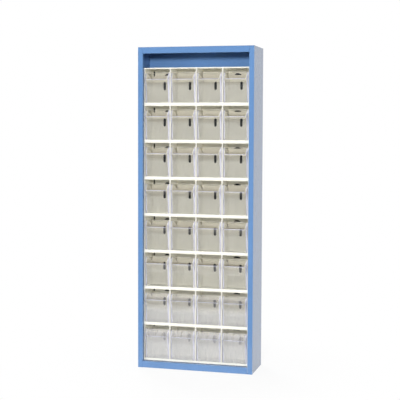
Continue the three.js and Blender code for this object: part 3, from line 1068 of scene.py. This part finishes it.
class TILTBIN_OT_housings(bpy.types.Operator):
    """Finish the moulded housings and put dark plates behind their corner holes as painted shade"""

    bl_idname = "tiltbin.housings"
    bl_label = "Housings"

    def execute(self, context):
        finishes = context.scene.tiltbin_finishes
        dress(HOUSINGS, moulded_white(finishes.white, finishes.post_painted_shade), finishes.moulded_edge)
        # Dark plates behind the corner holes are painted shade: they make the holes look dark.
        plates = context.scene.tiltbin_plates
        work = bmesh.new()
        bmesh.ops.create_cube(work, size=1.0, matrix=Matrix.Diagonal((*plates.size, 1.0)))
        bmesh.ops.bevel(work, geom=work.edges[:], offset=plates.edge, segments=2, affect="EDGES")
        mesh = finished_mesh(work, "shade_plate")
        mesh.materials.append(bpy.data.materials["phosphated_steel_black"])
        for name in HOUSINGS:
            low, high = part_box(name)
            for side, x in (("left", low.x + plates.inset), ("right", high.x - plates.inset)):
                plate = bpy.data.objects.new("shade_plate_" + side + "_" + name, mesh)
                context.scene.collection.objects.link(plate)
                plate.location = (x, high.y + plates.gap + plates.size[1] / 2, high.z - plates.drop)
                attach(plate, "cabinet")
        return {"FINISHED"}


class TILTBIN_OT_bins(bpy.types.Operator):
    """Make the clear bins in place of the plain ones"""

    bl_idname = "tiltbin.bins"
    bl_label = "Clear bins"

    def execute(self, context):
        form = BinForm(context.scene.tiltbin_bins)
        meshes = self.row_meshes(form, context.scene.tiltbin_finishes)
        levels = sorted({round(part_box(name)[0].z, 4) for name in BINS})
        for name in BINS:
            low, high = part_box(name)
            row = min(levels.index(round(low.z, 4)), len(meshes) - 1)
            piece = bpy.data.objects.new("clear_" + name, meshes[row])
            context.scene.collection.objects.link(piece)
            piece.location = ((low.x + high.x) / 2, low.y + form.reach * MM, low.z - form.floor * MM)
            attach(piece, name)
            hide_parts(name)
        return {"FINISHED"}

    def row_meshes(self, form, finishes):
        """Bin meshes for the lowest row, the one above it, and all others."""
        plain = bin_mesh(form)
        clear = finishes.clear
        milk = finishes.milk
        # The rounded corners, the rim and the nose bead are thick and bend light, so they look whiter.
        edge = clear_styrene("clear_styrene_edge", clear, finishes.edge_milk, finishes.edge_white)
        side = clear_styrene("clear_styrene_side", clear, milk, finishes.side_haze, doubled=True)
        # The lowest bins are milky, and those above them milky at the foot: a painted reflection of the
        # bright floor.
        floor_reflection_haze = finishes.low_haze
        rows = (
            ("lowest", floor_reflection_haze, LOWEST_LABEL_REFLECTION_HAZE * floor_reflection_haze, None),
            ("second", floor_reflection_haze, SECOND_LABEL_REFLECTION_HAZE * floor_reflection_haze, finishes.reflection_haze_top),
            ("upper", 0.0, 0.0, None),
        )
        meshes = []
        for row, veil, label_veil, reflection_haze_top in rows:
            wall_haze = finishes.haze + veil
            wall = clear_styrene("clear_styrene_wall_" + row, clear, milk, wall_haze, haze_top=reflection_haze_top)
            # The label band above the nose is thicker, and its tint is painted shade from the housing's roof
            # above.
            label_haze = finishes.haze + label_veil
            label = clear_styrene("clear_styrene_label_" + row, finishes.label_band_painted_shade, milk, label_haze)
            mesh = plain.copy()
            mesh.name = "clear_bin_" + row
            # In the order of the face slots
            for material in (wall, edge, label, side):
                mesh.materials.append(material)
            meshes.append(mesh)
        return meshes


class TILTBIN_OT_stage(bpy.types.Operator):
    """Set up the floor, the room, the lights and the camera"""

    bl_idname = "tiltbin.stage"
    bl_label = "Stage"

    def execute(self, context):
        stage = context.scene.tiltbin_stage
        self.floor(context, stage)
        self.world(context, stage)
        self.lights(context, stage)
        self.camera(context, stage)
        context.scene.view_settings.view_transform = "Standard"
        # Light crosses several clear walls on its way into a bin and out again.
        context.scene.cycles.transparent_max_bounces = 32
        # In the housings it goes on from one white wall to the next.
        context.scene.cycles.diffuse_bounces = 8
        return {"FINISHED"}

    def floor(self, context, stage):
        """White paper floor that keeps a soft shadow and is bright to the camera."""
        near = cad_box[0][1] - stage.floor_front
        reach = stage.floor_reach
        work = bmesh.new()
        corners = ((-reach, near, 0), (reach, near, 0), (reach, reach, 0), (-reach, reach, 0))
        work.faces.new([work.verts.new(corner) for corner in corners])
        mesh = finished_mesh(work, "paper_floor")
        mesh.materials.append(white_paper(stage))
        floor = bpy.data.objects.new("paper_floor", mesh)
        floor.location.z = -FLOOR_DROP
        context.scene.collection.objects.link(floor)

    def world(self, context, stage):
        """A room that is white to the camera, gives an even dim light and has a dark front in mirrors."""
        world = bpy.data.worlds.new("studio_room")
        world.use_nodes = True
        tree = world.node_tree
        tree.nodes.clear()
        seen = add_node(tree, "ShaderNodeLightPath").outputs
        mirrors = calculate(tree, "MAXIMUM", seen["Is Glossy Ray"], seen["Is Transmission Ray"])
        along = axes_of(tree, add_node(tree, "ShaderNodeTexCoord").outputs["Generated"])
        # The bright sides begin where a direction leaves the front, and end where it rises to the ceiling.
        beside = remap(tree, along["Y"], 0.0, 1.0, -0.5, -0.1, soft=True)
        below = remap(tree, along["Z"], 1.0, 0.0, 0.35, 0.7, soft=True)
        bright = calculate(tree, "MULTIPLY", beside, below)
        mirrored = remap(tree, bright, stage.dark_front, stage.bright_side)
        lighting = remap(tree, mirrors, stage.room_light, mirrored)
        strength = calculate(tree, "MAXIMUM", seen["Is Camera Ray"], lighting)
        room = add_node(tree, "ShaderNodeBackground", {"Color": WHITE, "Strength": strength})
        add_node(tree, "ShaderNodeOutputWorld", {"Surface": room.outputs["Background"]})
        context.scene.world = world

    def lights(self, context, stage):
        """A key light in front, and weaker ones for the faces that turn away from it."""
        low, high = cad_box
        middle = (Vector(low) + Vector(high)) / 2
        lamps = (
            ("key_softbox", stage.key_place, stage.key_size, stage.key_power),
            ("left_softbox", stage.left_place, stage.side_size, stage.left_power),
            ("right_softbox", stage.right_place, stage.side_size, stage.right_power),
            ("rear_softbox", stage.rear_place, stage.rear_size, stage.rear_power),
        )
        for name, place, size, power in lamps:
            lamp = bpy.data.lights.new(name, "AREA")
            lamp.shape = "SQUARE"
            lamp.size = size
            lamp.energy = power
            light = bpy.data.objects.new(name, lamp)
            context.scene.collection.objects.link(light)
            light.location = place
            light.rotation_euler = (middle - Vector(place)).to_track_quat("-Z", "Y").to_euler()
            light.visible_glossy = False

    def camera(self, context, stage):
        """The camera of the photograph, from its place and its three angles."""
        data = bpy.data.cameras.new("photo_camera")
        data.sensor_width = SENSOR_WIDTH
        data.lens = stage.focal_length
        data.shift_y = stage.frame_shift
        data.clip_end = VIEW_END
        camera = bpy.data.objects.new("photo_camera", data)
        context.scene.collection.objects.link(camera)
        turn = stage.camera_turn
        tilt = stage.camera_tilt
        roll = stage.camera_roll
        ahead = Vector(
            (-math.sin(turn) * math.cos(tilt), math.cos(turn) * math.cos(tilt), -math.sin(tilt))
        )
        right = Vector((math.cos(turn), math.sin(turn), 0.0))
        up = right.cross(ahead)
        across = right * math.cos(roll) + up * math.sin(roll)
        upward = up * math.cos(roll) - right * math.sin(roll)
        axes = Matrix((across, upward, -ahead)).transposed()
        camera.matrix_world = Matrix.Translation(Vector(stage.camera_place)) @ axes.to_4x4()
        context.scene.camera = camera


class TILTBIN_PT_sidebar(bpy.types.Panel):
    """Settings of the cabinet and the steps that build it"""

    bl_idname = "TILTBIN_PT_sidebar"
    bl_label = "Tilt-Bin Cabinet"
    bl_space_type = "VIEW_3D"
    bl_region_type = "UI"
    bl_category = "Tilt-Bin Cabinet"

    def draw(self, context):
        for group in ("tiltbin_finishes", "tiltbin_bins", "tiltbin_plates", "tiltbin_stage"):
            settings = getattr(context.scene, group)
            column = self.layout.column(align=True)
            for name in settings.__annotations__:
                column.prop(settings, name)
        for step in STEPS:
            self.layout.operator(step.bl_idname)


STEPS = (
    TILTBIN_OT_cabinet,
    TILTBIN_OT_rails,
    TILTBIN_OT_housings,
    TILTBIN_OT_bins,
    TILTBIN_OT_stage,
)
CLASSES = (CabinetFinishes, BinSizes, DarkShadePlates, StudioStage, *STEPS, TILTBIN_PT_sidebar)


def register():
    for cls in CLASSES:
        bpy.utils.register_class(cls)
    bpy.types.Scene.tiltbin_finishes = PointerProperty(type=CabinetFinishes)
    bpy.types.Scene.tiltbin_bins = PointerProperty(type=BinSizes)
    bpy.types.Scene.tiltbin_plates = PointerProperty(type=DarkShadePlates)
    bpy.types.Scene.tiltbin_stage = PointerProperty(type=StudioStage)


def unregister():
    del bpy.types.Scene.tiltbin_stage
    del bpy.types.Scene.tiltbin_plates
    del bpy.types.Scene.tiltbin_bins
    del bpy.types.Scene.tiltbin_finishes
    for cls in reversed(CLASSES):
        bpy.utils.unregister_class(cls)


def main():
    """Builds the scene step by step."""
    register()
    bpy.ops.tiltbin.cabinet()
    bpy.ops.tiltbin.rails()
    bpy.ops.tiltbin.housings()
    bpy.ops.tiltbin.bins()
    bpy.ops.tiltbin.stage()


if __name__ == "__main__":
    main()
